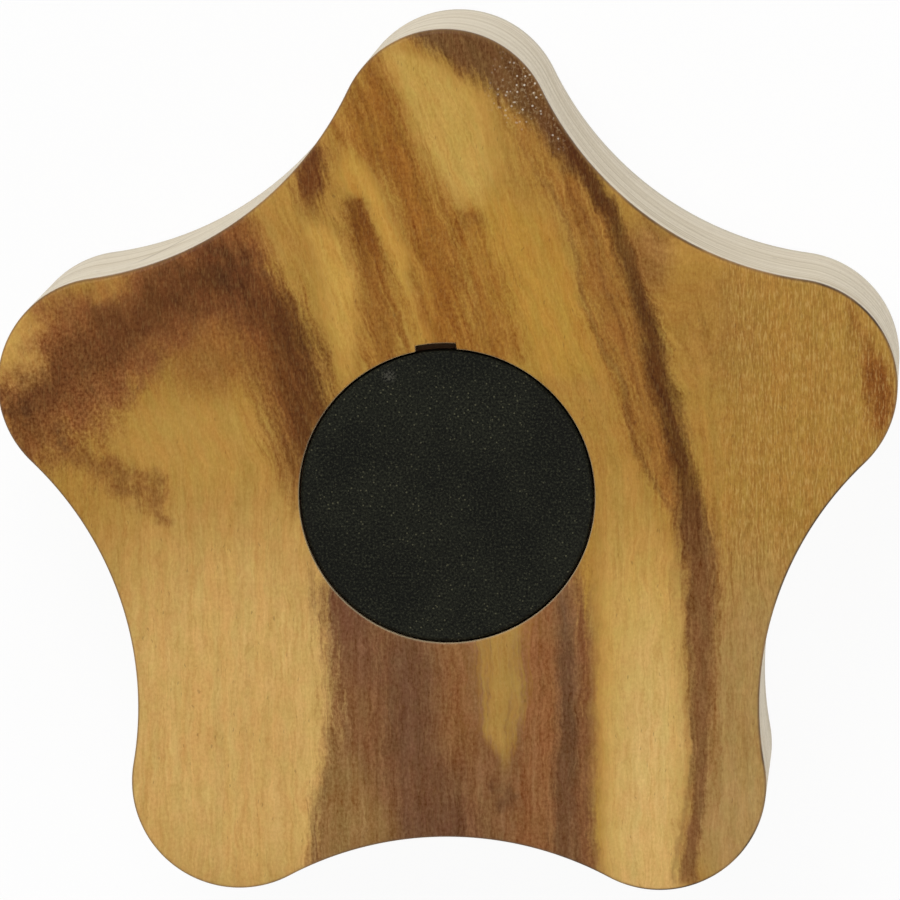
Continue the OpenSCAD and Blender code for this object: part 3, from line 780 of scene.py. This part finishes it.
def wood_face(material):
    """The thin figured layer: under side, cut edge, rounded upper edge, face and pocket rim."""
    rings = [round_ring(POCKET_RADIUS, CORE_TOP, True), star_ring(0.0, CORE_TOP)]
    for step in range(ROUND_STEPS + 1):
        sine, cosine = quarter(step)
        rings.append(star_ring(EDGE_ROUND * (1 - cosine), FACE_TOP - EDGE_ROUND * (1 - sine)))
    outer = rings[-1]
    inner = round_ring(POCKET_RADIUS + POCKET_ROUND, FACE_TOP, True)
    rings += [between(outer, inner, row / FACE_ROWS) for row in range(1, FACE_ROWS)]
    for step in range(ROUND_STEPS + 1):
        sine, cosine = quarter(step)
        radius = POCKET_RADIUS + POCKET_ROUND * (1 - sine)
        rings.append(round_ring(radius, FACE_TOP - POCKET_ROUND * (1 - cosine), True))
    return looped_mesh("wood_face", rings, material)


def screw_thread(material):
    """The thread on the screw's shank: a ridge wound round it, closed at both ends."""
    turns = (THREAD_TOP - THREAD_BOTTOM) / THREAD_PITCH
    steps = round(turns * THREAD_STEPS)
    rings = []
    for i in range(steps + 1):
        angle = 2 * math.pi * i / THREAD_STEPS
        height = THREAD_BOTTOM + THREAD_PITCH * i / THREAD_STEPS
        # The ridge rises over the first half turn and dies out over the last
        near_end = min(i, steps - i) / (THREAD_STEPS / 2)
        crest = THREAD_ROOT + (THREAD_CREST - THREAD_ROOT) * max(min(near_end, 1.0), THREAD_END)
        outward = Vector((math.cos(angle), math.sin(angle), 0))
        upper = [(THREAD_ROOT, THREAD_FOOT), (crest, THREAD_FLAT)]
        lower = [(reach, -up) for reach, up in reversed(upper)]
        section = upper + lower
        rings.append([reach * outward + Vector((0, 0, height + up)) for reach, up in section])
    return capped_mesh("screw_thread", rings, material)


body = wood_body(pale_wood())
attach(body, BODY)
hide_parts("knob_body")

face = wood_face(figured_face())
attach(face, BODY)
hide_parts("face_veneer")


def dress(node, material):
    """Gives a CAD node that is shown as it is a material of its own."""
    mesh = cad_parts[node].data
    mesh.materials.clear()
    mesh.materials.append(material)


steel = turned_metal("steel", "#8f9296", "#c4c7cb", 0.28)
dress("centre_cap", black_plastic())
dress("hub_insert", turned_metal("brass", "#9c7a35", "#d0aa5c", 0.25))
thread = screw_thread(steel)
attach(thread, BODY)
dress("washer", steel)
dress("fixing_screw", steel)


# Stage: a white floor, soft light mostly from the top of the picture, and the camera

# The floor's side and how far it lies under the back face, in metres
FLOOR_SIZE = 3.0
FLOOR_DROP = 0.0002
# How much of the floor that the camera sees is plain white; the rest takes the shadow
FLOOR_GLOW = 0.93

# Where the world's light starts to dim and is dimmest, from 0 at the horizon to 1 straight up, and its
# strength at each
SKY = (0.55, 0.95, 0.7, 0.1)


def white_floor():
    """Pale floor that reads as white and keeps a soft shadow."""
    p = Paint("floor_white")
    p.set(Base_Color=(0.92, 0.92, 0.92, 1.0), Roughness=0.9)
    glow = p.nodes.new("ShaderNodeEmission")
    glow.inputs["Color"].default_value = (1.0, 1.0, 1.0, 1.0)
    glow.inputs["Strength"].default_value = 1.0
    seen = p.nodes.new("ShaderNodeLightPath")
    mirrored = p.math("MAXIMUM", seen.outputs["Is Glossy Ray"], seen.outputs["Is Transmission Ray"])
    shown = p.math("MAXIMUM", seen.outputs["Is Camera Ray"], mirrored)
    share = p.math("MULTIPLY", shown, FLOOR_GLOW)
    both = p.nodes.new("ShaderNodeMixShader")
    p.links.new(share, both.inputs[0])
    p.links.new(p.shader.outputs[0], both.inputs[1])
    p.links.new(glow.outputs[0], both.inputs[2])
    output = next(n for n in p.nodes if n.type == "OUTPUT_MATERIAL")
    p.links.new(both.outputs[0], output.inputs[0])
    return p.material


floor_mesh = bpy.data.meshes.new("floor")
half = FLOOR_SIZE / 2
floor_mesh.from_pydata(
    [(-half, -half, 0), (half, -half, 0), (half, half, 0), (-half, half, 0)], [], [(0, 1, 2, 3)]
)
floor_mesh.materials.append(white_floor())
floor = bpy.data.objects.new("floor", floor_mesh)
floor.location.z = -FLOOR_DROP
bpy.context.scene.collection.objects.link(floor)


def studio_world():
    """White light from all round, dim straight above where the camera hangs."""
    world = bpy.data.worlds.new("studio")
    world.use_nodes = True
    nodes = world.node_tree.nodes
    links = world.node_tree.links
    place = nodes.new("ShaderNodeTexCoord")
    parts = nodes.new("ShaderNodeSeparateXYZ")
    level = nodes.new("ShaderNodeMapRange")
    level.interpolation_type = "SMOOTHSTEP"
    for socket, value in zip(list(level.inputs)[1:5], SKY):
        socket.default_value = value
    links.new(place.outputs["Generated"], parts.inputs[0])
    links.new(parts.outputs[2], level.inputs[0])
    links.new(level.outputs[0], nodes["Background"].inputs["Strength"])
    nodes["Background"].inputs["Color"].default_value = (1.0, 1.0, 1.0, 1.0)
    return world


bpy.context.scene.world = studio_world()


def lamp(name, place, aim, size, power):
    """A square soft light that faces aim, in metres and watts."""
    light = bpy.data.lights.new(name, "AREA")
    light.size = size
    light.energy = power
    holder = bpy.data.objects.new(name, light)
    holder.location = place
    holder.rotation_euler = (Vector(aim) - Vector(place)).to_track_quat("-Z", "Y").to_euler()
    bpy.context.scene.collection.objects.link(holder)


lamp("key", (-0.12, 0.33, 0.45), (0, 0, 0.01), 0.35, 1.7)
lamp("fill", (0.25, -0.25, 0.5), (0, 0, 0.01), 0.4, 0.36)
lamp("side", (0.45, -0.12, 0.06), (0, 0, 0.01), 0.3, 0.4)

# Camera fitted to the outline of the face in the photograph
TARGET = Vector((0.25, 3.21, FACE_TOP)) * MM
CAMERA_DISTANCE = 576 * MM
TILT_RIGHT = math.radians(3.41)
TILT_UP = math.radians(7.43)
ROLL = math.radians(-0.31)
FOCAL_PIXELS = 8432
PICTURE_PIXELS = 900

camera_data = bpy.data.cameras.new("camera")
camera_data.sensor_width = 36.0
camera_data.lens = FOCAL_PIXELS / PICTURE_PIXELS * camera_data.sensor_width
camera_data.clip_start = 0.02
camera = bpy.data.objects.new("camera", camera_data)
toward = Vector((math.sin(TILT_RIGHT), math.sin(TILT_UP), 0))
toward.z = math.sqrt(1 - toward.length_squared)
right = Vector((0, 1, 0)).cross(toward).normalized()
up = toward.cross(right)
rolled_right = math.cos(ROLL) * right + math.sin(ROLL) * up
rolled_up = math.cos(ROLL) * up - math.sin(ROLL) * right
turn = Matrix((rolled_right, rolled_up, toward)).transposed()
camera.matrix_world = Matrix.Translation(TARGET + CAMERA_DISTANCE * toward) @ turn.to_4x4()
bpy.context.scene.collection.objects.link(camera)
bpy.context.scene.camera = camera
bpy.context.scene.view_settings.view_transform = "Standard"
